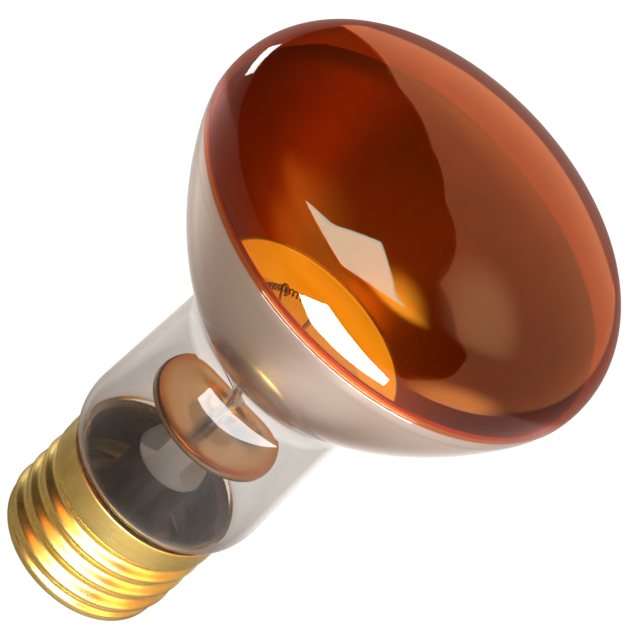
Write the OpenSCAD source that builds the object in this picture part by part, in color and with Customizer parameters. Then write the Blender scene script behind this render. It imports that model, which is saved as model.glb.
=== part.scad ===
// Amber reflector lamp for a darkroom safelight, built up from the pieces it is made of.
// The lamp axis is Z. The origin is the tip of the centre contact, and +Z points to the face.

/* [Bulb] */
// Overall length from the centre contact to the middle of the face
lamp_length = 100; // [99:0.5:101]
// Widest diameter, over the amber coat
bulb_d = 63.5; // [62.5:0.5:64.5]
// Radius of the domed face
front_r = 52; // [50:1:56]
// Radius of the rounded edge between face and shoulder
edge_r = 11; // [10:0.5:12]
// Radius of the shoulder curve
shoulder_r = 59; // [57:1:61]
// Slope of the shoulder at the amber coat's lower edge, from the axis
shoulder_a = 22.4; // [21:0.2:24]
// Radius of the inside corner between neck and shoulder
fillet_r = 7; // [5:0.5:9]
// Radius of the neck where it meets the shoulder
neck_top_r = 14; // [13.8:0.1:14.4]
// Radius of the neck at its widest, just above the base
neck_r = 14.85; // [14.6:0.05:15]
// Height of the neck's widest point
neck_z = 30.8; // [30:0.2:32]
// Thickness of the glass wall
glass_wall = 0.8; // [0.6:0.1:1]
// Thickness of the amber coat
amber_t = 0.1; // [0.05:0.05:0.2]
// Thickness of the mirror coat
mirror_t = 0.1; // [0.05:0.05:0.2]
// Height of the line between the amber coat and the mirror
amber_z = 81.8; // [81:0.2:82.6]

/* [Screw base] */
// Height of the shell's upper rim above the contact
rim_z = 25; // [24.6:0.1:25]
// Outer radius of the plain band above the thread
skirt_r = 13.2; // [13.16:0.01:13.24]
// Radius over the thread's crests
crest_r = 13.15; // [13.05:0.05:13.2]
// Radius of the thread's root
root_r = 12.25; // [12.15:0.05:12.35]
// Thread pitch, seven turns to the inch
pitch = 3.629; // [3.6:0.001:3.66]
// Angle by which the thread is turned about the axis
thread_turn = 10; // [0:5:355]
// Thickness of the brass sheet
brass_t = 0.3; // [0.25:0.01:0.32]
// Radius of the centre contact plate
contact_r = 4.75; // [4.5:0.05:5]

/* [Stem] */
// Radius of the glass stem tube
stem_r = 5.2; // [5:0.1:5.4]
// Half width of the flattened press at the top of the stem
press_half_w = 6.2; // [6:0.1:6.4]
// Thickness of the press
press_t = 4.2; // [4:0.1:4.6]
// Distance of each lead from the axis where it leaves the press
lead_x = 3.2; // [3.1:0.05:3.4]
// Radius of the round heat deflector
deflector_r = 10.2; // [9:0.1:10.8]
// Height of the heat deflector
deflector_z = 40.6; // [39.8:0.1:41.4]
// Height of the filament, at the focus of the mirror
filament_z = 57; // [56:0.5:58]
// Radius of the arc in which the filament hangs
filament_arc_r = 9; // [8.5:0.25:9.5]
// Radius of the filament coil
coil_r = 0.45; // [0.4:0.05:0.5]
// Number of turns in the filament coil
coil_turns = 36; // [24:2:44]

/* [Hidden] */

$fn = 96;
bend_swell = 1.06;

// The bulb's outline, as arcs that meet with no kink. Its radii are those of the glass without the amber coat.
glass_r = bulb_d/2 - amber_t;
dome_r = front_r - amber_t;
corner_r = edge_r - amber_t;
glass_top = lamp_length - amber_t;
dome_z = glass_top - dome_r;
corner_x = glass_r - corner_r;
corner_z = dome_z + sqrt(pow(dome_r - corner_r, 2) - pow(corner_x, 2));
dome_a = atan2(corner_z - dome_z, corner_x);
shoulder_x = corner_x - (shoulder_r - corner_r)*cos(shoulder_a);
shoulder_z = corner_z + (shoulder_r - corner_r)*sin(shoulder_a);
fillet_x = neck_top_r + fillet_r;
fillet_z = shoulder_z - sqrt(pow(shoulder_r + fillet_r, 2) - pow(fillet_x - shoulder_x, 2));
fillet_a = atan2(fillet_z - shoulder_z, fillet_x - shoulder_x);

// The neck turns in over the base and runs down inside it to the seal.
waist_r = 12.35;
waist_z = rim_z + 0.45;
tail_r = 11.4;
tail_z = 22.6;
seal_z = 14;

// Base
skirt_z = rim_z - 3.6;
thread_low_z = 7.6;
lip_z = 6;
lip_r = 11;
skirt_in_r = skirt_r - brass_t;
thread_fade = 1.2;
thread_mid_r = (crest_r + root_r)/2;
lap = 0.1;
insulator_low_z = 2.2;
insulator_low_r = 5.3;
contact_z = 1.3;
solder_flat_r = 1.6;
lead_hole_r = 0.9;
cement_low_z = 18;
cement_top_z = 24.3;

// Stem
flare_z = 24;
press_low_z = 29;
press_top_z = 38;
stem_wall = 1;
exhaust_r = 2.2;
exhaust_wall = 0.6;
exhaust_low_z = 9.5;
arbor_r = 0.9;
arbor_top_z = 46;
button_r = 1.5;
deflector_t = 0.3;
deflector_rim = 1;
post_x = 1.9;
post_r = 0.3;
inner_wire_r = 0.35;
outer_wire_r = 0.2;
seal_wire_r = 0.25;
seal_wire_low_z = 31;
seal_wire_top_z = 36.5;
lead_bend_z = 44;
support_wire_r = 0.18;
hook_r = 0.8;
filament_wire_r = 0.11;
filament_half_a = 80;
support_a = 45;

function arc(x, z, r, from, to, n) =
    [for (i = [0:n]) let (a = from + (to - from)*i/n) [x + r*cos(a), z + r*sin(a)]];
function ellipse(x, z, rx, rz, from, to, n) =
    [for (i = [0:n]) let (a = from + (to - from)*i/n) [x + rx*cos(a), z + rz*sin(a)]];

// Stretches of the bulb's outline, each moved inwards by d
function dome_line(d, n) = arc(0, dome_z, dome_r - d, 90, dome_a, n);
function corner_line(d, to, n) = arc(corner_x, corner_z, corner_r - d, dome_a, to, n);
function low_corner_line(d, from, n) = arc(corner_x, corner_z, corner_r - d, from, -shoulder_a, n);
function shoulder_line(d, n) =
    arc(shoulder_x, shoulder_z, shoulder_r - d, -shoulder_a, fillet_a, n);
function fillet_line(d, n) = arc(fillet_x, fillet_z, fillet_r + d, fillet_a + 180, 180, n);
function bulge_line(d, n) =
    ellipse(waist_r, neck_z, neck_r - waist_r - d, neck_z - waist_z - d, 0, -90, n);
function tail_line(d, n) =
    ellipse(waist_r, tail_z, waist_r - tail_r + d, waist_z - tail_z + d, 90, 180, n);
function bowl_line(d) = concat(
    dome_line(d, 28), corner_line(d, -shoulder_a, 18), shoulder_line(d, 16), fillet_line(d, 12)
);
function neck_line(d) = concat(
    [[neck_top_r - d, fillet_z]], bulge_line(d, 12), tail_line(d, 8), [[tail_r - d, seal_z]]
);
// Angle on the rounded edge at which the outline has come down to height z
function corner_angle(z, d) = asin((z - corner_z)/(corner_r - d));
function reversed(p) = [for (i = [len(p) - 1:-1:0]) p[i]];

module turned(points) {
    rotate_extrude() polygon(points);
}

// A round wire through a list of points, with a slightly swollen ball at each bend
module wire(points, r) {
    for (i = [0:len(points) - 2]) {
        step = points[i + 1] - points[i];
        translate(points[i])
            rotate([0, acos(step[2]/norm(step)), atan2(step[1], step[0])])
                cylinder(h = norm(step), r = r, $fn = 24);
    }
    for (i = [1:1:len(points) - 2])
        translate(points[i]) sphere(r = r*bend_swell, $fn = 24);
}

// The stem and what it carries are laid out along X, and stand across the lamp, along Y.
module stem_plane() {
    rotate([0, 0, 90]) children();
}

// Glass

// The blown bulb is one piece of glass. It is drawn as a bowl and a neck that meet face to face.
module glass_bowl() {
    color([0.9, 0.92, 0.93, 0.35])
        turned(concat(bowl_line(0), reversed(bowl_line(glass_wall))));
}

module glass_neck() {
    color([0.9, 0.92, 0.93, 0.35])
        turned(concat(neck_line(0), reversed(neck_line(glass_wall))));
}

module mirror_coat() {
    outer = glass_wall;
    inner = glass_wall + mirror_t;
    function coat_line(d) = concat(
        low_corner_line(d, corner_angle(amber_z, d), 4), shoulder_line(d, 16)
    );
    color([0.78, 0.78, 0.78])
        turned(concat(coat_line(outer), reversed(coat_line(inner))));
}

module amber_coat() {
    function coat_line(d) = concat(dome_line(d, 28), corner_line(d, corner_angle(amber_z, d), 16));
    color([0.85, 0.33, 0.05, 0.8])
        turned(concat(coat_line(-amber_t), reversed(coat_line(0))));
}

// Screw base

// Distance of the thread's sheet from the axis: a right-hand wave that runs out into the plain band
// above and into a plain ring below
function thread_at(z, a) =
    let (
        wave = thread_mid_r + (crest_r - root_r)/2*cos(360*z/pitch - a - thread_turn),
        above = max(0, 1 - (skirt_z - z)/thread_fade), below = max(0, 1 - (z - thread_low_z)/thread_fade)
    )
    wave*(1 - above)*(1 - below) + (skirt_r - lap)*above + thread_mid_r*below;

// The threaded stretch as a closed sheet: columns up the outside and down the inside
module thread_sheet(low, high, levels, columns) {
    function z_at(i) = low + (high - low)*i/levels;
    function ring(z, d) = [
        for (j = [0:columns - 1]) let (a = 360*j/columns, r = thread_at(z, a) - d)
        [r*cos(a), r*sin(a), z]
    ];
    rings = concat(
        [for (i = [0:levels]) ring(z_at(i), 0)],
        [for (i = [levels:-1:0]) ring(z_at(i), brass_t)]
    );
    count = len(rings);
    polyhedron(
        points = [for (r = rings) each r],
        faces = [
            for (i = [0:count - 1], j = [0:columns - 1])
            let (k = (j + 1)%columns, n = (i + 1)%count)
            each [
                [i*columns + j, n*columns + j, n*columns + k],
                [i*columns + j, n*columns + k, i*columns + k]
            ]
        ]
    );
}

module screw_shell() {
    top_in_r = skirt_r - brass_t - 2*lap;
    low_out_r = thread_mid_r + lap;
    low_in_r = thread_mid_r - brass_t - lap;
    curl_r = 1.6;
    color([0.83, 0.72, 0.36])
        union() {
            turned([
                [skirt_in_r, skirt_z + 0.6], [skirt_in_r, rim_z], [skirt_r, rim_z],
                [skirt_r, skirt_z - 0.2], [top_in_r, skirt_z - 0.2], [top_in_r, skirt_z + 0.3]
            ]);
            thread_sheet(thread_low_z, skirt_z, 32, 36);
            turned(concat(
                [[low_in_r, thread_low_z + 0.2], [low_out_r, thread_low_z + 0.2]],
                arc(low_out_r - curl_r, thread_low_z, curl_r, 0, -90, 6),
                [[lip_r, lip_z], [lip_r, lip_z + brass_t]],
                arc(low_out_r - curl_r, thread_low_z, curl_r - low_out_r + low_in_r, -90, 0, 6)
            ));
        }
}

module base_insulator() {
    color([0.08, 0.07, 0.09])
        turned([
            [lead_hole_r, insulator_low_z], [insulator_low_r, insulator_low_z],
            [insulator_low_r + 0.6, insulator_low_z + 0.5], [lip_r - 0.4, lip_z - 0.5],
            [lip_r, lip_z], [lip_r, lip_z + brass_t], [lip_r + 0.2, lip_z + brass_t],
            [lip_r, lip_z + 1.3], [4, lip_z + 0.6], [lead_hole_r, lip_z]
        ]);
}

module centre_contact() {
    color([0.8, 0.7, 0.4])
        turned([
            [lead_hole_r, contact_z + 0.3], [lead_hole_r, contact_z],
            [contact_r - 0.9, contact_z], [contact_r, contact_z + 0.5],
            [contact_r, insulator_low_z], [contact_r - 0.3, insulator_low_z],
            [contact_r - 0.9, contact_z + 0.3]
        ]);
}

module centre_solder() {
    dome = 1.3;
    color([0.75, 0.75, 0.76])
        difference() {
            turned(concat(
                [[0, 0], [solder_flat_r, 0]],
                ellipse(solder_flat_r, contact_z, 1.5, dome, -90, 0, 8),
                [[lead_hole_r, contact_z], [lead_hole_r, contact_z + 0.3], [0, contact_z + 0.3]]
            ));
            translate([0, 0, contact_z - 0.4]) cylinder(h = 2, r = outer_wire_r, $fn = 24);
        }
}

module side_solder() {
    color([0.75, 0.75, 0.76])
        stem_plane()
            difference() {
                translate([skirt_r - 0.25, 0, rim_z + 0.05])
                    scale([0.45, 1.5, 0.5]) sphere(r = 1, $fn = 32);
                cylinder(h = rim_z, r = skirt_r);
                wire(side_lead_route(), outer_wire_r);
            }
}

module base_cement() {
    inside_r = root_r - brass_t - 0.05;
    glass_side = [for (p = reversed(tail_line(0, 16))) if (p[1] < cement_top_z) p];
    color([0.86, 0.83, 0.76])
        difference() {
            turned(concat(
                [[tail_r, cement_low_z]], glass_side,
                [[skirt_in_r, cement_top_z], [skirt_in_r, skirt_z + 0.6], [inside_r, skirt_z - 0.4]],
                [[inside_r, cement_low_z]]
            ));
            stem_plane() wire(side_lead_route(), outer_wire_r);
        }
}

// Stem

module stem_flare() {
    rim = tail_r - glass_wall;
    depth = flare_z - seal_z - stem_wall;
    color([0.85, 0.88, 0.88, 0.5])
        turned(concat(
            [[stem_r, press_low_z]],
            ellipse(rim, flare_z, rim - stem_r, depth, 180, 270, 16),
            reversed(ellipse(rim, flare_z, rim - stem_r + stem_wall, depth + stem_wall, 180, 270, 16)),
            [[stem_r - stem_wall, press_low_z]]
        ));
}

module stem_press() {
    half_t = press_t/2;
    color([0.85, 0.88, 0.88, 0.5])
        stem_plane()
            difference() {
                intersection() {
                    turned([
                        [0, press_low_z], [stem_r, press_low_z], [press_half_w, press_low_z + 4],
                        [press_half_w, press_top_z - 0.8], [press_half_w - 0.8, press_top_z],
                        [0, press_top_z]
                    ]);
                    rotate([90, 0, 90])
                        linear_extrude(height = 20, center = true)
                            polygon([
                                [-stem_r, press_low_z - 1], [stem_r, press_low_z - 1],
                                [stem_r, press_low_z], [half_t, press_low_z + 4],
                                [half_t, press_top_z - 0.5], [half_t - 0.5, press_top_z],
                                [0.5 - half_t, press_top_z], [-half_t, press_top_z - 0.5],
                                [-half_t, press_low_z + 4], [-stem_r, press_low_z]
                            ]);
                }
                for (side = [-1, 1]) {
                    translate([side*lead_x, 0, press_low_z - 1])
                        cylinder(h = seal_wire_top_z - press_low_z + 1, r = seal_wire_r, $fn = 24);
                    translate([side*lead_x, 0, seal_wire_top_z])
                        cylinder(h = 3, r = inner_wire_r, $fn = 24);
                    translate([side*post_x, 0, seal_wire_top_z]) cylinder(h = 3, r = post_r, $fn = 24);
                }
                translate([0, 0, press_top_z - 1]) cylinder(h = 2, r = arbor_r, $fn = 32);
                translate([0, 0, press_low_z - 1]) cylinder(h = 5, r = exhaust_r - exhaust_wall);
                translate([0, 0, press_low_z + 3]) rotate([-90, 0, 0]) cylinder(h = 8, r = 0.8, $fn = 32);
            }
}

module exhaust_tube() {
    bore_r = exhaust_r - exhaust_wall;
    color([0.85, 0.88, 0.88, 0.5])
        turned(concat(
            [[exhaust_r, press_low_z]],
            arc(0, exhaust_low_z + exhaust_r, exhaust_r, 0, -90, 10),
            reversed(arc(0, exhaust_low_z + exhaust_r, bore_r, 0, -90, 10)),
            [[bore_r, press_low_z]]
        ));
}

module arbor_rod() {
    color([0.85, 0.88, 0.88, 0.5])
        difference() {
            union() {
                translate([0, 0, press_top_z - 1])
                    cylinder(h = arbor_top_z - press_top_z + 1, r = arbor_r, $fn = 32);
                translate([0, 0, arbor_top_z]) sphere(r = button_r, $fn = 32);
            }
            stem_plane()
                for (turn = [-1:1]) wire(support_route(turn*support_a), support_wire_r);
        }
}

module heat_deflector() {
    color([0.72, 0.72, 0.74])
        stem_plane()
            difference() {
                turned([
                    [0, deflector_z], [deflector_r - 0.4, deflector_z],
                    [deflector_r, deflector_z - 0.4], [deflector_r, deflector_z - deflector_rim],
                    [deflector_r - deflector_t, deflector_z - deflector_rim],
                    [deflector_r - deflector_t, deflector_z - 0.5],
                    [deflector_r - 0.5, deflector_z - deflector_t], [0, deflector_z - deflector_t]
                ]);
                translate([0, 0, deflector_z - 1]) cylinder(h = 2, r = arbor_r + 0.3, $fn = 32);
                for (side = [-1, 1])
                    translate([side*lead_x, 0, deflector_z - 1])
                        cylinder(h = 2, r = inner_wire_r + 0.5, $fn = 32);
            }
}

module deflector_post(side) {
    color([0.6, 0.6, 0.62])
        stem_plane()
            translate([side*post_x, 0, seal_wire_top_z])
                cylinder(h = deflector_z - deflector_t - seal_wire_top_z, r = post_r, $fn = 24);
}

// Leads. Each end of the filament hangs from the inner lead on its side, and one lead mirrors the other.
module inner_lead(side) {
    hook = filament_point(-filament_half_a) - [0, coil_r + inner_wire_r + 0.05, 0];
    color([0.55, 0.53, 0.5])
        stem_plane()
            mirror([max(0, side), 0, 0])
                wire([
                    [-lead_x, 0, seal_wire_top_z], [-lead_x, 0, lead_bend_z],
                    hook - [0, 0, 2], hook + [0, 0, coil_r]
                ], inner_wire_r);
}

module seal_wire(side) {
    color([0.72, 0.38, 0.25])
        stem_plane()
            translate([side*lead_x, 0, seal_wire_low_z])
                cylinder(h = seal_wire_top_z - seal_wire_low_z, r = seal_wire_r, $fn = 24);
}

// The centre lead comes down beside the exhaust tube and through the insulator. It is cut for the fuse link.
fuse_top_z = 24;
fuse_low_z = 17;
module outer_lead_centre() {
    color([0.75, 0.42, 0.28])
        stem_plane() {
            wire([[-lead_x, 0, seal_wire_low_z], [-lead_x, 0, fuse_top_z]], outer_wire_r);
            wire([
                [-lead_x, 0, fuse_low_z], [-lead_x, 0, exhaust_low_z + 1],
                [0, 0, lip_z + 1.5], [0, 0, contact_z - 0.4]
            ], outer_wire_r);
        }
}

module fuse_link() {
    color([0.7, 0.68, 0.66])
        stem_plane()
            translate([-lead_x, 0, fuse_low_z])
                cylinder(h = fuse_top_z - fuse_low_z, r = outer_wire_r*0.7, $fn = 24);
}

// The side lead passes under the glass, up beside it, and out over the shell's rim.
function side_lead_route() = [
    [lead_x, 0, seal_wire_low_z], [lead_x, 0, seal_z - 1.2], [tail_r + outer_wire_r + 0.04, 0, seal_z - 1.2],
    [tail_r + outer_wire_r + 0.04, 0, skirt_z], [skirt_in_r - outer_wire_r - 0.05, 0, cement_top_z],
    [skirt_in_r - outer_wire_r - 0.05, 0, rim_z + outer_wire_r + 0.02],
    [skirt_r - 0.1, 0, rim_z + outer_wire_r + 0.02]
];
module outer_lead_side() {
    color([0.75, 0.42, 0.28]) stem_plane() wire(side_lead_route(), outer_wire_r);
}

// Supports. Each wire runs from the button to a ring round the coil.
function filament_point(a) = [filament_arc_r*sin(a), filament_arc_r*cos(a), filament_z];
function support_route(a) =
    let (ring_low = filament_point(a) - [0, 0, hook_r])
    [[0, 0, arbor_top_z + 0.4], ring_low];

module support_wire(a) {
    color([0.5, 0.5, 0.52])
        stem_plane() {
            wire(support_route(a), support_wire_r);
            translate(filament_point(a))
                rotate([0, 0, -a]) rotate([0, 90, 0])
                    rotate_extrude() translate([hook_r, 0]) circle(r = support_wire_r, $fn = 16);
        }
}

// The filament is a coil whose axis bends round the arc.
function coil_point(u) =
    let (
        a = filament_half_a*(2*u - 1), turn = 360*coil_turns*u,
        r = filament_arc_r + coil_r*cos(turn)
    )
    [r*sin(a), r*cos(a), filament_z + coil_r*sin(turn)];

module filament() {
    steps = coil_turns*8;
    sides = 4;
    points = [
        for (i = [0:steps]) let (
            here = coil_point(i/steps),
            ahead = coil_point(min(1, (i + 0.5)/steps)), behind = coil_point(max(0, (i - 0.5)/steps)),
            along = (ahead - behind)/norm(ahead - behind),
            a = filament_half_a*(2*i/steps - 1),
            core = [filament_arc_r*sin(a), filament_arc_r*cos(a), filament_z],
            out = (here - core)/norm(here - core),
            across = cross(along, out)/norm(cross(along, out))
        )
        for (j = [0:sides - 1]) let (b = 360*j/sides)
        here + filament_wire_r*(cos(b)*out + sin(b)*across)
    ];
    walls = [
        for (i = [0:steps - 1], j = [0:sides - 1]) let (k = (j + 1)%sides)
        each [
            [i*sides + j, i*sides + k, (i + 1)*sides + k],
            [i*sides + j, (i + 1)*sides + k, (i + 1)*sides + j]
        ]
    ];
    ends = [[for (j = [sides - 1:-1:0]) j], [for (j = [0:sides - 1]) steps*sides + j]];
    color([0.35, 0.35, 0.37])
        stem_plane() polyhedron(points = points, faces = concat(walls, ends));
}

glass_bowl();
glass_neck();
mirror_coat();
amber_coat();
screw_shell();
base_insulator();
centre_contact();
centre_solder();
side_solder();
base_cement();
stem_flare();
stem_press();
exhaust_tube();
arbor_rod();
heat_deflector();
deflector_post(-1);  // deflector_post_left
deflector_post(1);  // deflector_post_right
inner_lead(-1);  // inner_lead_left
inner_lead(1);  // inner_lead_right
seal_wire(-1);  // seal_wire_left
seal_wire(1);  // seal_wire_right
outer_lead_centre();
outer_lead_side();
fuse_link();
support_wire(-support_a);  // support_wire_left
support_wire(0);  // support_wire_middle
support_wire(support_a);  // support_wire_right
filament();
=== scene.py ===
"""The looks of an amber reflector lamp, a darkroom safelight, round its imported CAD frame.

Lengths are in metres. Outlines are lists of (radius, height) about the lamp's axis, which is Z.
"""

import math

import bpy
from mathutils import Matrix, Vector


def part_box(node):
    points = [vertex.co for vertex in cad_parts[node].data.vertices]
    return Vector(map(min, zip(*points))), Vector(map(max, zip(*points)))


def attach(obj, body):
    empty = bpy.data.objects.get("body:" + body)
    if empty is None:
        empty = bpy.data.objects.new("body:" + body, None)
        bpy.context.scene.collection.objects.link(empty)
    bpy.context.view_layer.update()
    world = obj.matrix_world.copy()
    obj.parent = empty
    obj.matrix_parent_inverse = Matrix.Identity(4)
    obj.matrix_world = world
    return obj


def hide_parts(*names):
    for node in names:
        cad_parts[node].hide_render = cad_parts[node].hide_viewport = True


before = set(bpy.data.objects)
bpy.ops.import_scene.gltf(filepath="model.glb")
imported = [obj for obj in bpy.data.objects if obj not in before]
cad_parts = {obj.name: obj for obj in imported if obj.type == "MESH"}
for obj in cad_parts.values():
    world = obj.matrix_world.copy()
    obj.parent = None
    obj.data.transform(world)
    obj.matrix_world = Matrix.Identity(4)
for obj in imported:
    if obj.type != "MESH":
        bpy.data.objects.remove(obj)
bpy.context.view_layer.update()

MM = 0.001
TURN = 2 * math.pi

# ---------------------------------------------------------------- dimensions

# Taken from the frame
bowl_low, bowl_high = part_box("glass_bowl")
neck_low, neck_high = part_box("glass_neck")
amber_low, amber_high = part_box("amber_coat")
shell_low, shell_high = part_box("screw_shell")
insulator_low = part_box("base_insulator")[0]
contact_low, contact_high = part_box("centre_contact")
deflector_low, deflector_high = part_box("heat_deflector")
arbor_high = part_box("arbor_rod")[1]
filament_low, filament_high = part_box("filament")

# The screw shell: a plain band under the rim, the thread, and a lip curled in at the bottom
RIM_Z = shell_high.z
LIP_Z = shell_low.z
SKIRT_R = shell_high.x
SKIRT_Z = RIM_Z - 3.6 * MM
CREST_R = 13.15 * MM
ROOT_R = 12.25 * MM
THREAD_R = (CREST_R + ROOT_R) / 2
PITCH = 3.629 * MM
THREAD_TURN = math.radians(10)
THREAD_FADE = 1.2 * MM  # the height over which the thread runs out into the plain band
THREAD_LOW_Z = 7.6 * MM
CURL_R = 1.6 * MM
LIP_R = 11 * MM
BRASS_T = 0.3 * MM
EYELET_BORE = 0.9 * MM
EYELET_T = 0.3 * MM

# The bulb, from its top down: dome, corner, shoulder, fillet, neck, waist over the shell, tail
GLASS_WALL = 0.8 * MM
GLASS_R = bowl_high.x
GLASS_TOP = bowl_high.z
DOME_R = 51.9 * MM
CORNER_R = 10.9 * MM
SHOULDER_R = 59 * MM
SHOULDER_A = math.radians(22.4)
FILLET_R = 7 * MM
FILLET_Z = bowl_low.z
NECK_TOP_R = 14 * MM
NECK_R = neck_high.x
NECK_Z = 30.8 * MM
WAIST_R = 12.35 * MM
WAIST_Z = RIM_Z + 0.45 * MM
TAIL_R = 11.4 * MM
TAIL_Z = 22.6 * MM
SEAL_Z = neck_low.z

# The coats, which stand FACE_GAP off the glass, because faces that coincide render in patches
AMBER_T = amber_high.z - bowl_high.z
AMBER_Z = amber_low.z
MIRROR_T = 0.1 * MM
MIRROR_LAP = 1.2 * MM  # how far the mirror reaches up behind the amber
FACE_GAP = 0.02 * MM

# Where the outline's arcs are centred and where they meet, so that each runs on into the next
DOME_Z = GLASS_TOP - DOME_R
CORNER_X = GLASS_R - CORNER_R
CORNER_Z = DOME_Z + math.sqrt((DOME_R - CORNER_R) ** 2 - CORNER_X**2)
DOME_A = math.atan2(CORNER_Z - DOME_Z, CORNER_X)
SHOULDER_X = CORNER_X - (SHOULDER_R - CORNER_R) * math.cos(SHOULDER_A)
SHOULDER_Z = CORNER_Z + (SHOULDER_R - CORNER_R) * math.sin(SHOULDER_A)
FILLET_X = NECK_TOP_R + FILLET_R
FILLET_A = math.atan2(FILLET_Z - SHOULDER_Z, FILLET_X - SHOULDER_X)

SEGMENTS = 160  # round the axis
SAME_POINT = 1e-7


# ---------------------------------------------------------------- outlines


def arc(x, z, r, start, end, count, rz=None):
    """Points on a circle, or on an ellipse of half height rz, from one angle to another."""
    rz = r if rz is None else rz
    angles = [start + (end - start) * i / count for i in range(count + 1)]
    return [(x + r * math.cos(a), z + rz * math.sin(a)) for a in angles]


def corner_angle(z, d=0.0):
    """The angle at which the corner reaches height z."""
    return math.asin((z - CORNER_Z) / (CORNER_R - d))


def dome_line(d):
    """This outline and the next ones lie a depth d inside the bulb's outer face."""
    return arc(0, DOME_Z, DOME_R - d, math.pi / 2, DOME_A, 64)


def corner_line(d, start, end, count=40):
    return arc(CORNER_X, CORNER_Z, CORNER_R - d, start, end, count)


def shoulder_line(d):
    return arc(SHOULDER_X, SHOULDER_Z, SHOULDER_R - d, -SHOULDER_A, FILLET_A, 56)


def fillet_line(d):
    return arc(FILLET_X, FILLET_Z, FILLET_R + d, FILLET_A + math.pi, math.pi, 24)


def neck_line(d):
    """From the foot of the shoulder down the neck to the seal."""
    top, count = NECK_TOP_R - d, 24
    straight = [(top + (NECK_R - NECK_TOP_R) * i / count,
                 FILLET_Z + (NECK_Z - FILLET_Z) * i / count) for i in range(1, count)]
    bulge = arc(WAIST_R, NECK_Z, NECK_R - WAIST_R - d, 0, -math.pi / 2, 28,
                NECK_Z - WAIST_Z - d)
    tail = arc(WAIST_R, TAIL_Z, WAIST_R - TAIL_R + d, math.pi / 2, math.pi, 16,
               WAIST_Z - TAIL_Z + d)
    return straight + bulge + tail[1:] + [(TAIL_R - d, SEAL_Z)]


def joined(*lines):
    """One outline from several, without the points that repeat."""
    points = []
    for line in lines:
        for p in line:
            if not points or math.dist(points[-1], p) > SAME_POINT:
                points.append(p)
    return points


# ---------------------------------------------------------------- meshes


def make_piece(name, points, faces, face_slots=()):
    """A smooth-shaded mesh. face_slots are its faces' material slots, all 0 if not given."""
    mesh = bpy.data.meshes.new(name)
    mesh.from_pydata(points, [], faces)
    for face, index in zip(mesh.polygons, face_slots):
        face.material_index = index
    mesh.shade_smooth()
    mesh.validate()
    piece = bpy.data.objects.new(name, mesh)
    bpy.context.scene.collection.objects.link(piece)
    return piece


def lathe(name, outline, radius_at=None, slot_of=None):
    """Turns a closed outline about the axis. Points on the axis become one vertex.
    radius_at(i, r, z, angle) may shape each point.
    slot_of(i) is the material slot of the band from point i to the next."""
    points, rings = [], []
    for i, (r, z) in enumerate(outline):
        if r < SAME_POINT:
            rings.append([len(points)])
            points.append((0, 0, z))
            continue
        rings.append(range(len(points), len(points) + SEGMENTS))
        for j in range(SEGMENTS):
            a = TURN * j / SEGMENTS
            here = radius_at(i, r, z, a) if radius_at else r
            points.append((here * math.cos(a), here * math.sin(a), z))
    faces, slots = [], []
    for i in range(len(rings)):
        upper, lower = rings[i], rings[(i + 1) % len(rings)]
        if len(upper) == 1 and len(lower) == 1:
            continue
        for j in range(SEGMENTS):
            k = (j + 1) % SEGMENTS
            if len(upper) == 1:
                faces.append((upper[0], lower[j], lower[k]))
            elif len(lower) == 1:
                faces.append((upper[j], lower[0], upper[k]))
            else:
                faces.append((upper[j], lower[j], lower[k], upper[k]))
            slots.append(slot_of(i) if slot_of else 0)
    return make_piece(name, points, faces, slots)


def smooth_route(corners, per_span=12):
    """A Catmull-Rom curve through the corners."""
    ends = [corners[0] * 2 - corners[1], *corners, corners[-1] * 2 - corners[-2]]
    route = []
    for a, b, c, d in zip(ends, ends[1:], ends[2:], ends[3:]):
        for i in range(per_span):
            t = i / per_span
            route.append(0.5 * (2 * b + (c - a) * t + (2 * a - 5 * b + 4 * c - d) * t**2
                                + (3 * b - a - 3 * c + d) * t**3))
    return route + [corners[-1].copy()]


def sweep(name, route, r, sides=12):
    """A round wire along a route, with closed ends."""
    points, faces = [], []
    along = (route[1] - route[0]).normalized()
    out = along.orthogonal().normalized()
    for i, here in enumerate(route):
        along = (route[min(i + 1, len(route) - 1)] - route[max(i - 1, 0)]).normalized()
        out = (out - along * out.dot(along)).normalized()
        across = along.cross(out)
        for j in range(sides):
            a = TURN * j / sides
            points.append(here + r * (math.cos(a) * out + math.sin(a) * across))
    for i in range(len(route) - 1):
        for j in range(sides):
            k = (j + 1) % sides
            faces.append((i * sides + j, i * sides + k, (i + 1) * sides + k, (i + 1) * sides + j))
    faces.append(tuple(reversed(range(sides))))
    faces.append(tuple(range(len(points) - sides, len(points))))
    return make_piece(name, points, faces)


# ---------------------------------------------------------------- materials


def add(tree, kind, inputs=None, **settings):
    """Adds a node. An input is a number, a colour or the socket that feeds it."""
    made = tree.nodes.new(kind)
    for key, value in settings.items():
        setattr(made, key, value)
    for key, value in (inputs or {}).items():
        if isinstance(value, bpy.types.NodeSocket):
            tree.links.new(value, made.inputs[key])
        else:
            made.inputs[key].default_value = value
    return made


def principled(name, **constants):
    """A material with one Principled shader, and the object's own coordinates."""
    material = bpy.data.materials.new(name)
    material.use_nodes = True
    tree = material.node_tree
    shader = tree.nodes["Principled BSDF"]
    for key, value in constants.items():
        shader.inputs[key.replace("_", " ")].default_value = value
    place = tree.nodes.new("ShaderNodeTexCoord").outputs["Object"]
    return material, tree, shader, place


def noise(tree, place, size, detail=3.0, rough=0.5, stretch=None):
    """Noise whose features are about size metres across, divided by stretch along each axis."""
    if stretch:
        place = add(tree, "ShaderNodeMapping", {"Vector": place, "Scale": stretch}).outputs[0]
    return add(tree, "ShaderNodeTexNoise", {
        "Vector": place, "Scale": 1 / size, "Detail": detail, "Roughness": rough,
    }).outputs["Fac"]


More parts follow.
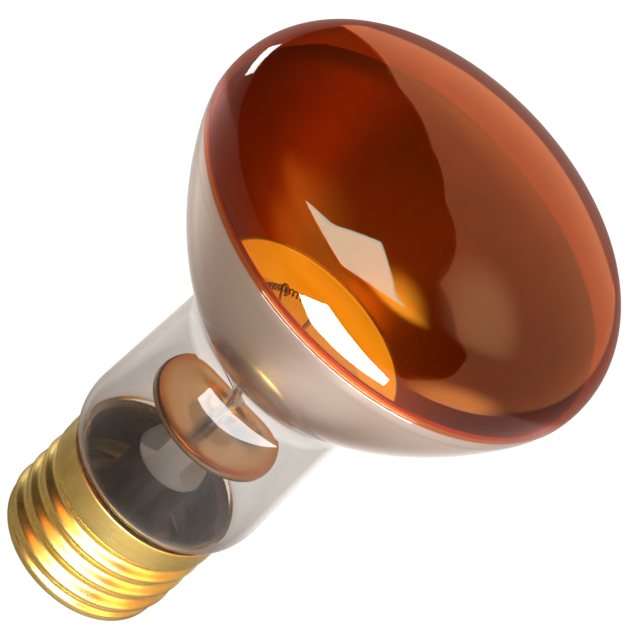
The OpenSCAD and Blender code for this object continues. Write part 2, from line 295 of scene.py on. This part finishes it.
def ramp(tree, value, *stops):
    """A colour ramp through (position, colour or grey) stops."""
    made = add(tree, "ShaderNodeValToRGB", {"Fac": value})
    elements = made.color_ramp.elements
    while len(elements) < len(stops):
        elements.new(0.5)
    for element, (position, colour) in zip(elements, stops):
        element.position = position
        shade = colour if isinstance(colour, tuple) else (colour,) * 3
        element.color = (*shade, 1)
    return made.outputs["Color"]


def height_between(tree, place, low, high):
    """0 at height low, 1 at height high, smooth between."""
    z = add(tree, "ShaderNodeSeparateXYZ", {"Vector": place}).outputs["Z"]
    return add(tree, "ShaderNodeMapRange", {
        "Value": z, "From Min": low, "From Max": high,
    }, interpolation_type="SMOOTHSTEP").outputs["Result"]


def blend_colours(tree, share, a, b, kind="MIX"):
    """From a to b as share goes from 0 to 1. Each is a colour, or the socket that feeds it."""
    made = add(tree, "ShaderNodeMix", data_type="RGBA", blend_type=kind)
    for index, value in ((0, share), (6, a), (7, b)):  # the Mix node's factor and colours
        if isinstance(value, bpy.types.NodeSocket):
            tree.links.new(value, made.inputs[index])
        else:
            made.inputs[index].default_value = value if index == 0 else (*value, 1)
    return made.outputs[2]


def bump(tree, shader, height, distance, strength):
    """Relief from a height of 0 to 1, which stands for distance metres."""
    made = add(tree, "ShaderNodeBump", {
        "Height": height, "Distance": distance, "Strength": strength})
    tree.links.new(made.outputs["Normal"], shader.inputs["Normal"])


def amber_lacquer(name, ior):
    """Transparent amber coat, redder at its lower edge, where it is thicker. Light is tinted at
    each of its sides. The side next to the glass has an ior of 1, so it doesn't glint."""
    material, tree, shader, place = principled(
        name, Transmission_Weight=1.0, Roughness=0.0, IOR=ior)
    mottle = noise(tree, place, 9 * MM, 2.0)
    colour = ramp(tree, mottle, (0.3, (0.88, 0.255, 0.004)), (0.7, (0.92, 0.300, 0.008)))
    edge = height_between(tree, place, AMBER_Z + 1.2 * MM, AMBER_Z)
    colour = blend_colours(tree, edge, colour, (0.72, 0.16, 0.004))
    tree.links.new(colour, shader.inputs["Base Color"])
    return material


def bulb_glass(name, tint):
    """Thin blown glass, with a faint variation in its tint."""
    material, tree, shader, place = principled(
        name, Transmission_Weight=1.0, Roughness=0.0, IOR=1.5)
    colour = ramp(tree, noise(tree, place, 12 * MM, 2.0),
                  (0.3, tuple(0.98 * c for c in tint)), (0.7, tint))
    tree.links.new(colour, shader.inputs["Base Color"])
    return material


def bonded():
    """The face of the glass where a coat covers it, which shows nothing of its own."""
    material, tree, shader, place = principled("bonded_face", Alpha=0.0, Roughness=0.0)
    colour = ramp(tree, noise(tree, place, 5 * MM), (0.0, 0.98), (1.0, 1.0))
    tree.links.new(colour, shader.inputs["Base Color"])
    return material


def mirror_film(name, colour, roughness):
    """Evaporated aluminium, a little clouded."""
    material, tree, shader, place = principled(name, Metallic=1.0)
    cloud = noise(tree, place, 16 * MM, 2.0)
    thin = tuple(0.93 * c for c in colour)
    tree.links.new(ramp(tree, cloud, (0.3, thin), (0.7, colour)), shader.inputs["Base Color"])
    tree.links.new(ramp(tree, cloud, (0.3, roughness), (0.7, 1.15 * roughness)),
                   shader.inputs["Roughness"])
    return material


def rolled_brass():
    """Bright brass with rolling marks round the shell, and darker, duller smudges."""
    material, tree, shader, place = principled("rolled_brass", Metallic=1.0)
    smudge = noise(tree, place, 5 * MM, 5.0, 0.6)
    streak = noise(tree, place, 1.2 * MM, 3.0, 0.6, (0.25, 0.25, 3.0))
    colour = ramp(tree, smudge, (0.25, (0.56, 0.40, 0.11)), (0.55, (0.78, 0.60, 0.20)),
                  (0.8, (0.86, 0.70, 0.28)))
    colour = blend_colours(tree, 0.35, colour, ramp(tree, streak, (0.3, 0.7), (0.6, 1.0)),
                           "MULTIPLY")
    tree.links.new(colour, shader.inputs["Base Color"])
    tree.links.new(ramp(tree, smudge, (0.2, 0.36), (0.8, 0.22)), shader.inputs["Roughness"])
    bump(tree, shader, streak, 0.03 * MM, 0.35)
    return material


def black_glass():
    """Moulded black glass, glossy, with a faint purple flow in it."""
    material, tree, shader, place = principled(
        "black_glass", Coat_Weight=0.4, Coat_Roughness=0.05)
    flow = noise(tree, place, 3 * MM, 3.0)
    tree.links.new(ramp(tree, flow, (0.3, (0.010, 0.008, 0.014)), (0.7, (0.028, 0.022, 0.038))),
                   shader.inputs["Base Color"])
    tree.links.new(ramp(tree, flow, (0.2, 0.10), (0.8, 0.22)), shader.inputs["Roughness"])
    bump(tree, shader, noise(tree, place, 2 * MM), 0.08 * MM, 0.3)
    return material


def metal(name, dark, light, roughness, grain):
    """A metal whose colour and gloss vary over grain metres."""
    material, tree, shader, place = principled(name, Metallic=1.0)
    patch = noise(tree, place, grain, 4.0, 0.6)
    tree.links.new(ramp(tree, patch, (0.3, dark), (0.7, light)), shader.inputs["Base Color"])
    tree.links.new(ramp(tree, patch, (0.2, roughness * 1.3), (0.8, roughness * 0.8)),
                   shader.inputs["Roughness"])
    bump(tree, shader, patch, 0.02 * MM, 0.4)
    return material


def cement():
    """Basing cement with fine pores, coloured dark brown as painted shade for the hollow inside
    the base.
    """
    material, tree, shader, place = principled("basing_cement_painted_shade", Roughness=0.9)
    grain = noise(tree, place, 0.6 * MM, 5.0, 0.7)
    # Painted shade: these dark browns stand for the shade in the hollow of the base.
    tree.links.new(ramp(tree, grain, (0.3, (0.15, 0.11, 0.08)), (0.6, (0.27, 0.21, 0.16))),
                   shader.inputs["Base Color"])
    bump(tree, shader, grain, 0.1 * MM, 0.5)
    return material


def stem_glass(name, tint, clear):
    """Lead glass of the stem, pressed while soft, which leaves it hazy where clear is below 1."""
    material, tree, shader, place = principled(
        name, Transmission_Weight=clear, Roughness=0.2, IOR=1.35)
    streak = noise(tree, place, 4 * MM)
    dull = tuple(0.9 * c for c in tint)
    tree.links.new(ramp(tree, streak, (0.3, dull), (0.7, tint)), shader.inputs["Base Color"])
    return material


def aluminium_painted_amber_glow():
    """The deflector's bright sheet, with painted amber light: grey-tan in the middle and
    orange-brown at its edge, as the glow it reflects from inside the bulb.
    """
    material, tree, shader, place = principled("aluminium_painted_amber_glow", Metallic=1.0)
    flat = add(tree, "ShaderNodeVectorMath", {0: place, 1: (1, 1, 0)}, operation="MULTIPLY")
    radius = add(tree, "ShaderNodeVectorMath", {0: flat.outputs[0]}, operation="LENGTH")
    share = add(tree, "ShaderNodeMath", {0: radius.outputs["Value"], 1: deflector_high.x},
                operation="DIVIDE").outputs[0]
    # Painted reflection: the tan middle and orange-brown rim stand for amber light reflected by
    # the sheet.
    painted_amber_glow = ramp(tree, share, (0.45, (0.70, 0.67, 0.63)), (0.80, (0.60, 0.52, 0.42)),
               (0.93, (0.56, 0.30, 0.12)))
    patch = noise(tree, place, 3 * MM, 3.0)
    tree.links.new(blend_colours(tree, 0.3, painted_amber_glow, ramp(tree, patch, (0.3, 0.8), (0.7, 1.0)),
                                 "MULTIPLY"), shader.inputs["Base Color"])
    tree.links.new(ramp(tree, patch, (0.2, 0.26), (0.8, 0.20)), shader.inputs["Roughness"])
    return material


# ---------------------------------------------------------------- pieces


def finish_piece(piece, slot, materials, *replaced):
    """Paints a piece, fixes it to the lamp, and takes the place of CAD nodes."""
    for material in materials:
        piece.data.materials.append(material)
    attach(piece, "root")
    if replaced:
        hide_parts(*replaced)


def make_amber_coat(lacquer, bond):
    """The lacquer shell over the face, with its own material for the side next to the glass."""
    outer = joined(dome_line(-AMBER_T),
                   corner_line(-AMBER_T, DOME_A, corner_angle(AMBER_Z, -AMBER_T)))
    inner = joined(dome_line(-FACE_GAP),
                   corner_line(-FACE_GAP, DOME_A, corner_angle(AMBER_Z, -FACE_GAP)))
    outline = outer + inner[::-1]
    last = len(outer) - 1
    piece = lathe("amber_lacquer_coat", outline, slot_of=lambda i: 0 if i < last else 1)
    finish_piece(piece, "amber_glass", [lacquer, bond], "amber_coat")


def make_bulb(clear, covered_face, neck_clear):
    """The blown glass in one piece: dome, shoulder, neck and the tail inside the base.
    Its outline runs down the outside and up the inside."""
    edge = corner_angle(AMBER_Z)
    covered = joined(dome_line(0), corner_line(0, DOME_A, edge))
    bare = joined(corner_line(0, edge, -SHOULDER_A, 16), shoulder_line(0), fillet_line(0),
                  neck_line(0))
    outer = joined(covered, bare)
    d = GLASS_WALL
    edge_in = corner_angle(AMBER_Z + MIRROR_LAP, d)
    dome_in = joined(dome_line(d), corner_line(d, DOME_A, edge_in))
    silvered = joined(corner_line(d, edge_in, -SHOULDER_A, 16), shoulder_line(d))
    inner = joined(dome_in, silvered, fillet_line(d), neck_line(d))
    outline = outer + inner[::-1]
    last_covered = len(covered) - 2
    last_silvered = len(dome_in) + len(silvered) - 2
    neck_from = FILLET_Z + 0.1 * MM

    def slot_of(i):
        inside = i >= len(outer)
        back = len(outline) - 1 - i
        if inside and back < len(dome_in):
            return 0
        if i <= last_covered or (inside and back <= last_silvered):
            return 1
        return 2 if outline[i][1] < neck_from else 0

    piece = lathe("bulb_glass", outline, slot_of=slot_of)
    finish_piece(piece, "clear_glass", [clear, covered_face, neck_clear],
                 "glass_bowl", "glass_neck")


def make_mirror(outside, inside):
    """The reflecting film inside the shoulder, with a duller side towards the filament."""

    def line(d):
        edge = corner_angle(AMBER_Z + MIRROR_LAP, d)
        return joined(corner_line(d, edge, -SHOULDER_A, 16), shoulder_line(d))

    outer = line(GLASS_WALL + FACE_GAP)
    outline = outer + line(GLASS_WALL + MIRROR_T)[::-1]
    last = len(outer) - 1
    piece = lathe("mirror_film", outline, slot_of=lambda i: 0 if i < last else 1)
    finish_piece(piece, "mirror_coat", [outside, inside], "mirror_coat")


def thread_radius(z, a):
    """The rolled thread: a right-hand wave that runs out into the band above and flat below."""
    wave = THREAD_R + (CREST_R - ROOT_R) / 2 * math.cos(TURN * z / PITCH - a - THREAD_TURN)
    above = min(1, max(0, 1 - (SKIRT_Z - z) / THREAD_FADE))
    below = min(1, max(0, 1 - (z - THREAD_LOW_Z) / THREAD_FADE))
    above, below = (t * t * (3 - 2 * t) for t in (above, below))
    return wave * (1 - above) * (1 - below) + SKIRT_R * above * (1 - below) + THREAD_R * below


def make_screw_shell(brass):
    """The brass sheet: plain band, rolled thread, and the lip curled in over the insulator."""
    edge = BRASS_T / 2
    rows = 150
    rim = arc(SKIRT_R - edge, RIM_Z - edge, edge, math.pi, 0, 10)
    band = [(SKIRT_R, RIM_Z - edge - (RIM_Z - edge - SKIRT_Z) * i / 10) for i in range(1, 10)]
    wave = [(SKIRT_R, SKIRT_Z + (THREAD_LOW_Z - SKIRT_Z) * i / rows) for i in range(rows + 1)]

    def curl(r):
        return arc(THREAD_R - CURL_R, THREAD_LOW_Z, r, 0, -math.pi / 2, 12)[1:]

    outer = rim + band + wave + curl(CURL_R) + [(LIP_R, LIP_Z)]
    inner = wave + curl(CURL_R - BRASS_T) + [(LIP_R, LIP_Z + BRASS_T)]
    outline = outer + inner[::-1]
    first = len(rim) + len(band)
    first_in = len(outline) - len(wave)

    def radius_at(i, r, z, a):
        if first <= i < first + len(wave):
            return thread_radius(z, a)
        return thread_radius(z, a) - BRASS_T if i >= first_in else r

    piece = lathe("brass_screw_shell", outline, radius_at)
    finish_piece(piece, "brass", [brass], "screw_shell")


def make_insulator(glass):
    """Moulded black glass cone between the shell's lip and the contact."""
    low = insulator_low.z
    lip_round, foot_round = 0.25 * MM, 0.45 * MM
    foot_r = 5.4 * MM
    outline = joined(
        [(EYELET_BORE, LIP_Z), (LIP_R + 0.1 * MM, LIP_Z + 1.2 * MM)],
        arc(LIP_R - 0.1 * MM, LIP_Z + 0.1 * MM, lip_round, 0.8, -1.2, 8),
        [(foot_r + 1 * MM, low + 2 * foot_round)],
        arc(foot_r, low + foot_round, foot_round, -0.6, -math.pi / 2, 8),
        [(EYELET_BORE, low)],
    )
    piece = lathe("black_glass_insulator", outline)
    finish_piece(piece, "black_glass", [glass], "base_insulator")


def make_contact(brass):
    """The brass eyelet, dished, with a rounded edge."""
    r, low, top = contact_high.x, contact_low.z, contact_high.z
    round_r = 0.5 * MM
    outline = joined(
        [(EYELET_BORE, low + EYELET_T), (r - 3 * EYELET_T, low + EYELET_T)],
        [(r - EYELET_T, top), (r, top)],
        arc(r - round_r, low + round_r, round_r, 0, -math.pi / 2, 10),
        [(EYELET_BORE, low)],
    )
    piece = lathe("centre_contact_eyelet", outline)
    finish_piece(piece, "brass", [brass], "centre_contact")


def make_solder(solder):
    """The solder blob on the contact, slightly uneven."""
    low, top = contact_low.z, contact_low.z + EYELET_T
    plug, flat, reach = 0.85 * MM, 1.6 * MM, 3.1 * MM
    even_above = 1.2 * MM
    outline = joined([(0, top), (plug, top), (plug, low), (reach, low)],
                     arc(flat, low, reach - flat, 0, -math.pi / 2, 16, low), [(0, 0)])

    def radius_at(i, r, z, a):
        if z >= even_above:
            return r
        return r * (1 + 0.03 * math.sin(3 * a + 0.6) + 0.02 * math.sin(5 * a))

    piece = lathe("centre_solder_blob", outline, radius_at)
    finish_piece(piece, "solder", [solder], "centre_solder")


def make_deflector(sheet):
    """The pressed round heat shield with its turned-down rim."""
    r, low, top = deflector_high.x, deflector_low.z, deflector_high.z
    t, hole, bend = 0.3 * MM, 1.2 * MM, 0.5 * MM
    outline = joined(
        [(hole, top)], arc(r - bend, top - bend, bend, math.pi / 2, 0, 10),
        [(r, low), (r - t, low)], arc(r - bend, top - bend, bend - t, 0, math.pi / 2, 10),
        [(hole, top - t)],
    )
    piece = lathe("heat_deflector_disc", outline)
    finish_piece(piece, "deflector_aluminium", [sheet], "heat_deflector")


def on_stem(along, z, across=0.0):
    """A point in the stem's own plane, which stands along Y."""
    return Vector((-across, along, z))


# The filament is a coil bent to an arc with its middle towards -X. The leads hold its ends.
FILAMENT_Z = (filament_low.z + filament_high.z) / 2
FILAMENT_R = 9 * MM
FILAMENT_HALF_A = math.radians(80)
COIL_R = 0.45 * MM
COIL_TURNS = 36
COIL_WIRE_R = 0.11 * MM
LEAD_OUT = 3.2 * MM
LEAD_LOW_Z = 36.5 * MM
LEAD_MIDDLE_Z = 40 * MM
LEAD_BEND_Z = 44 * MM
LEAD_WIRE_R = 0.35 * MM
SUPPORT_A = math.radians(45)
SUPPORT_WIRE_R = 0.18 * MM
BUTTON_DEPTH = 1.1 * MM
HOOK_R = 0.8 * MM
HOOK_PITCH = 0.5 * MM


def filament_at(a):
    """The coil's middle at an angle round the arc."""
    return on_stem(FILAMENT_R * math.sin(a), FILAMENT_Z, FILAMENT_R * math.cos(a))


def make_leads(nickel):
    for side, word in ((-1, "left"), (1, "right")):
        end = filament_at(side * FILAMENT_HALF_A)
        hook = end + on_stem(0, 0, -(COIL_R + 0.4 * MM))
        corners = [on_stem(side * LEAD_OUT, z) for z in (LEAD_LOW_Z, LEAD_MIDDLE_Z, LEAD_BEND_Z)]
        corners += [hook + Vector((0, 0, z)) for z in (-3 * MM, -1 * MM, COIL_R)]
        piece = sweep("inner_lead_wire_" + word, smooth_route(corners), LEAD_WIRE_R)
        finish_piece(piece, "nickel_wire", [nickel], "inner_lead_" + word)


def make_filament(tungsten):
    steps_per_turn = 14
    steps = COIL_TURNS * steps_per_turn
    route = []
    for i in range(steps + 1):
        a = FILAMENT_HALF_A * (2 * i / steps - 1)
        turn = TURN * COIL_TURNS * i / steps
        r = FILAMENT_R + COIL_R * math.cos(turn)
        route.append(on_stem(r * math.sin(a), FILAMENT_Z + COIL_R * math.sin(turn),
                             r * math.cos(a)))
    piece = sweep("filament_coil", route, COIL_WIRE_R, 8)
    finish_piece(piece, "tungsten", [tungsten], "filament")


def make_supports(molybdenum):
    """Wires from the arbor's button, each with a hook that the coil runs through."""
    for turn, word in ((-1, "left"), (0, "middle"), (1, "right")):
        a = SUPPORT_A * turn
        centre = filament_at(a)
        along = on_stem(math.cos(a), 0, -math.sin(a))
        out = on_stem(math.sin(a), 0, math.cos(a))
        start = Vector((0, 0, arbor_high.z - BUTTON_DEPTH))
        loop = [centre + HOOK_R * (math.sin(b) * out - math.cos(b) * Vector((0, 0, 1)))
                + HOOK_PITCH * along * b / TURN for b in (TURN * k / 20 for k in range(19))]
        rise = [start, start.lerp(loop[0], 0.5)]
        piece = sweep("support_wire_hook_" + word, smooth_route(rise + loop, 4),
                      SUPPORT_WIRE_R, 10)
        finish_piece(piece, "molybdenum_wire", [molybdenum], "support_wire_" + word)


def repaint(material, slot, *nodes):
    """Gives CAD nodes that stay as they are a material."""
    for name in nodes:
        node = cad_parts[name]
        node.data.materials.clear()
        node.data.materials.append(material)


def make_lamp():
    brass = rolled_brass()
    solder = metal("solder_tin", (0.50, 0.50, 0.52), (0.74, 0.74, 0.76), 0.34, 1.2 * MM)
    nickel = metal("nickel", (0.46, 0.44, 0.41), (0.66, 0.64, 0.60), 0.28, 1.5 * MM)
    copper = metal("copper", (0.55, 0.26, 0.16), (0.80, 0.45, 0.30), 0.32, 1.5 * MM)
    make_amber_coat(amber_lacquer("amber_lacquer", 1.5), amber_lacquer("amber_bond", 1.0))
    make_bulb(bulb_glass("bulb_glass", (1.0, 1.0, 1.0)), bonded(),
              bulb_glass("neck_glass", (0.80, 0.79, 0.775)))
    make_mirror(mirror_film("mirror_film", (0.88, 0.74, 0.66), 0.14),
                mirror_film("mirror_film_inside", (0.52, 0.48, 0.45), 0.38))
    make_screw_shell(brass)
    make_insulator(black_glass())
    make_contact(brass)
    make_solder(solder)
    make_deflector(aluminium_painted_amber_glow())
    make_leads(nickel)
    make_filament(metal("tungsten", (0.10, 0.10, 0.11), (0.24, 0.24, 0.26), 0.4, 0.5 * MM))
    make_supports(metal("molybdenum", (0.32, 0.32, 0.33), (0.48, 0.48, 0.50), 0.34, 1 * MM))
    repaint(stem_glass("flare_glass", (0.74, 0.70, 0.65), 1.0), "clear_glass", "stem_flare")
    repaint(stem_glass("pressed_glass", (0.93, 0.91, 0.88), 0.65), "clear_glass", "stem_press",
            "exhaust_tube", "arbor_rod")
    repaint(cement(), "cement", "base_cement")
    repaint(solder, "solder", "side_solder")
    repaint(nickel, "nickel_wire", "deflector_post_left", "deflector_post_right", "fuse_link")
    repaint(copper, "copper_wire", "seal_wire_left", "seal_wire_right", "outer_lead_centre",
            "outer_lead_side")


# ---------------------------------------------------------------- studio


# Where the camera stands and looks, fitted to the lamp's outline in the photograph
EYE_TILT = math.radians(35.807)
EYE_ROLL = math.radians(46.54)
EYE_DISTANCE = 554.92 * MM
LENS = 235.6
SENSOR_WIDTH = 36
AIM = Vector((0.1004 * MM, 0, 60.9 * MM))
AIM_RISE = 1.9197 * MM


def make_camera():
    """The camera looks down at the lamp, and is rolled so that the lamp leans across the frame."""
    across = Vector((1, 0, 0))
    rise = Vector((0, math.sin(EYE_TILT), math.cos(EYE_TILT)))
    back = across.cross(rise)
    right = math.cos(EYE_ROLL) * across + math.sin(EYE_ROLL) * rise
    up = math.cos(EYE_ROLL) * rise - math.sin(EYE_ROLL) * across
    data = bpy.data.cameras.new("camera")
    data.lens, data.sensor_width = LENS, SENSOR_WIDTH
    data.clip_start, data.clip_end = 0.01, 20
    camera = bpy.data.objects.new("camera", data)
    camera.matrix_world = Matrix((right, up, back)).transposed().to_4x4()
    camera.location = AIM + AIM_RISE * rise + EYE_DISTANCE * back
    bpy.context.scene.collection.objects.link(camera)
    bpy.context.scene.camera = camera


# The lights are placed by how they are seen from a point inside the bulb's widest part.
LIGHT_CENTRE = Vector((0, 0, 88 * MM))


def toward(azimuth, elevation):
    """The direction at an azimuth from the camera's side, positive to the right."""
    a, e = math.radians(azimuth), math.radians(elevation)
    return Vector((math.sin(a) * math.cos(e), -math.cos(a) * math.cos(e), math.sin(e)))


def glow(name, colour, strength, soft):
    """Light of one colour. A soft one, given by its centre and radius, fades out towards that
    radius, and hides nothing behind it."""
    material = bpy.data.materials.new(name)
    material.use_nodes = True
    tree = material.node_tree
    tree.nodes.clear()
    shader = add(tree, "ShaderNodeEmission", {"Color": (*colour, 1), "Strength": strength})
    if soft:
        place = tree.nodes.new("ShaderNodeTexCoord").outputs["Object"]
        fade = light_patch(tree, place, *soft)
        level = add(tree, "ShaderNodeMath", {0: fade, 1: strength}, operation="MULTIPLY")
        tree.links.new(level.outputs[0], shader.inputs["Strength"])
        clear = add(tree, "ShaderNodeBsdfTransparent")
        shader = add(tree, "ShaderNodeAddShader", {0: clear.outputs[0], 1: shader.outputs[0]})
    out = add(tree, "ShaderNodeOutputMaterial")
    tree.links.new(shader.outputs[0], out.inputs["Surface"])
    return material


def light_patch(tree, place, centre, r):
    """1 near the centre of a round patch of light, falling to 0 at r."""
    gap = add(tree, "ShaderNodeVectorMath", {0: place, 1: centre}, operation="DISTANCE")
    return add(tree, "ShaderNodeMapRange", {
        "Value": gap.outputs["Value"], "From Min": 0.25 * r, "From Max": r, "To Min": 1.0,
        "To Max": 0.0}, interpolation_type="SMOOTHSTEP").outputs["Result"]


def make_panel(name, points, faces, colour, strength, soft=None, through=True):
    """A light the camera doesn't see. Unless it is seen through glass too, it only glints."""
    mesh = bpy.data.meshes.new(name)
    mesh.from_pydata(points, [], faces)
    mesh.materials.append(glow(name, colour, strength, soft))
    panel = bpy.data.objects.new(name, mesh)
    bpy.context.scene.collection.objects.link(panel)
    panel.visible_camera = False
    panel.visible_transmission = through


def light_panel(name, corners, distance, colour, strength, through=True):
    """A flat light whose corners lie at these azimuths and elevations."""
    points = [LIGHT_CENTRE + distance * toward(*c) for c in corners]
    make_panel(name, points, [tuple(range(len(points)))], colour, strength, through=through)


def soft_glow(name, middle, distance, r, colour, strength):
    """A round light that fades towards its edge, facing the lamp."""
    face = toward(*middle)
    centre = LIGHT_CENTRE + distance * face
    across = face.orthogonal().normalized()
    rise = face.cross(across)
    sides = 32
    angles = [TURN * i / sides for i in range(sides)]
    points = [centre + r * (math.cos(a) * across + math.sin(a) * rise) for a in angles]
    make_panel(name, points, [tuple(range(sides))], colour, strength, (centre, r),
               through=False)


def make_table_strip(strength):
    """A curved strip of light on the table in front, which the neck reflects."""
    near, far, height = 88.8 * MM, 106.0 * MM, 0.3 * MM
    turns = [math.radians(a) for a in range(-26, 68, 4)]
    points = [Vector((r * math.sin(a), -r * math.cos(a), height)) for a in turns
              for r in (near, far)]
    faces = [(2 * i, 2 * i + 1, 2 * i + 3, 2 * i + 2) for i in range(len(turns) - 1)]
    make_panel("table_strip", points, faces, (1.0, 1.0, 1.0), strength, through=False)


# The azimuth and elevation of the tent's top edge, and the elevation of its foot, in degrees
TENT_TOP = [(44, 0), (59, 18), (74, 40), (97, 61), (121, 74), (142, 70), (180, 61),
            (194, 47), (202, 28)]
TENT_LOW = -4
TENT_STEP = 3


def make_tent(distance, colour, strength):
    """A curved sheet of light that stands to the right of the lamp and behind it."""
    tops = []
    for (a0, e0), (a1, e1) in zip(TENT_TOP, TENT_TOP[1:]):
        count = max(1, round((a1 - a0) / TENT_STEP))
        tops += [(a0 + (a1 - a0) * i / count, e0 + (e1 - e0) * i / count) for i in range(count)]
    tops.append(TENT_TOP[-1])
    rows = 10
    points = [LIGHT_CENTRE + distance * toward(a, TENT_LOW + (top - TENT_LOW) * j / rows)
              for a, top in tops for j in range(rows + 1)]
    step = rows + 1
    faces = [(i * step + j, i * step + j + 1, (i + 1) * step + j + 1, (i + 1) * step + j)
             for i in range(len(tops) - 1) for j in range(rows)]
    make_panel("tent", points, faces, colour, strength)


# The table is white to the eye. In reflections it is brighter to the right and behind than to
# the left in front, and it has round patches: where each is centred, its radius, its brightness.
TABLE_SIZE = 6.0
TABLE_Z = -0.3 * MM
TABLE_TO_THE_EYE = 0.97
DARK_SIDE = -40
TABLE_PATCHES = [
    ((0, 0, 0), 75 * MM, 0.08),
    ((21 * MM, -22 * MM, 0), 32 * MM, 0.44),
    ((16 * MM, 70 * MM, 0), 60 * MM, 0.95),
]
FAR_FROM, FAR_TO = 95 * MM, 115 * MM
FAR_BRIGHTNESS = 0.15


def table_brightness(tree, place):
    """How bright the table is in reflections."""
    way = add(tree, "ShaderNodeVectorMath", {0: place}, operation="NORMALIZE").outputs[0]
    off = add(tree, "ShaderNodeVectorMath", {0: way, 1: toward(DARK_SIDE, 0)},
              operation="DOT_PRODUCT").outputs["Value"]
    shade = ramp(tree, off, (0.0, 0.5), (0.22, 0.75), (0.5, 0.42), (0.77, 0.16), (1.0, 0.06))
    for centre, r, brightness in TABLE_PATCHES:
        shade = blend_colours(tree, light_patch(tree, place, centre, r), shade,
                              (brightness,) * 3)
    y = add(tree, "ShaderNodeSeparateXYZ", {"Vector": place}).outputs["Y"]
    far = add(tree, "ShaderNodeMapRange", {
        "Value": y, "From Min": FAR_FROM, "From Max": FAR_TO}).outputs["Result"]
    return blend_colours(tree, far, shade, (FAR_BRIGHTNESS,) * 3)


def make_floor():
    """A plain white table that glows by itself, so that the lamp casts almost no shadow."""
    mesh = bpy.data.meshes.new("floor")
    corners = [(x * TABLE_SIZE, y * TABLE_SIZE, TABLE_Z)
               for x, y in ((-1, -1), (1, -1), (1, 1), (-1, 1))]
    mesh.from_pydata(corners, [], [(0, 1, 2, 3)])
    material, tree, shader, place = principled(
        "white_table", Base_Color=(0.1, 0.1, 0.1, 1), Roughness=0.9, Specular_IOR_Level=0.0,
        Emission_Color=(1, 1, 1, 1))
    eye = add(tree, "ShaderNodeLightPath").outputs["Is Camera Ray"]
    strength = add(tree, "ShaderNodeMapRange", {
        "Value": eye, "To Min": table_brightness(tree, place), "To Max": TABLE_TO_THE_EYE,
    }).outputs["Result"]
    tree.links.new(strength, shader.inputs["Emission Strength"])
    mesh.materials.append(material)
    floor = bpy.data.objects.new("floor", mesh)
    bpy.context.scene.collection.objects.link(floor)


def make_world():
    """A dark room round the table, which is white where the eye looks straight at it."""
    world = bpy.data.worlds.new("studio")
    world.use_nodes = True
    bpy.context.scene.world = world
    tree = world.node_tree
    background = tree.nodes["Background"]
    eye = add(tree, "ShaderNodeLightPath").outputs["Is Camera Ray"]
    colour = blend_colours(tree, eye, (0.015, 0.014, 0.013), (1.0, 1.0, 1.0))
    tree.links.new(colour, background.inputs["Color"])


def make_studio():
    """The table, the room and the lights. Directions are azimuths and elevations in degrees."""
    make_floor()
    make_world()
    make_tent(1.2, (1.0, 0.56, 0.28), 1.15)
    soft_glow("tent_glow", (121, 59), 1.1, 0.34, (1.0, 0.60, 0.28), 1.9)
    soft_glow("warm_glow_above", (42, 74), 1.0, 0.27, (1.0, 0.36, 0.02), 19.0)
    soft_glow("warm_glow_left", (-68, 60), 1.0, 0.45, (1.0, 0.26, 0.02), 3.5)
    soft_glow("warm_glow_front", (-22, 38), 0.8, 0.62, (1.0, 0.27, 0.02), 4.0)
    soft_glow("warm_glow_right", (68, -4), 0.6, 0.30, (1.0, 0.34, 0.08), 9.0)
    make_table_strip(14.0)
    light_panel("overhead", [(-69, 57), (-119, 86), (58, 73), (-16, 59)], 0.9,
                (0.62, 0.79, 0.56), 13.0)
    light_panel("window", [(-13, -6), (-2, 11), (12, 4), (37, -10), (38, -20), (14, -21),
                           (-1, -19)], 0.22, (1.0, 0.99, 0.97), 40.0, through=False)
    light_panel("side_strip", [(-121, -9), (-137, -9), (-138, -2), (-121, -2)], 0.4,
                (1.0, 0.95, 0.9), 9.0, through=False)


def set_light_paths():
    """Plain colours, and enough bounces for light to pass through all the coats and glass."""
    scene = bpy.context.scene
    scene.view_settings.view_transform = "Standard"
    scene.cycles.max_bounces = 24
    scene.cycles.glossy_bounces = 12
    scene.cycles.transmission_bounces = 20
    scene.cycles.transparent_max_bounces = 24


make_camera()
make_lamp()
make_studio()
set_light_paths()
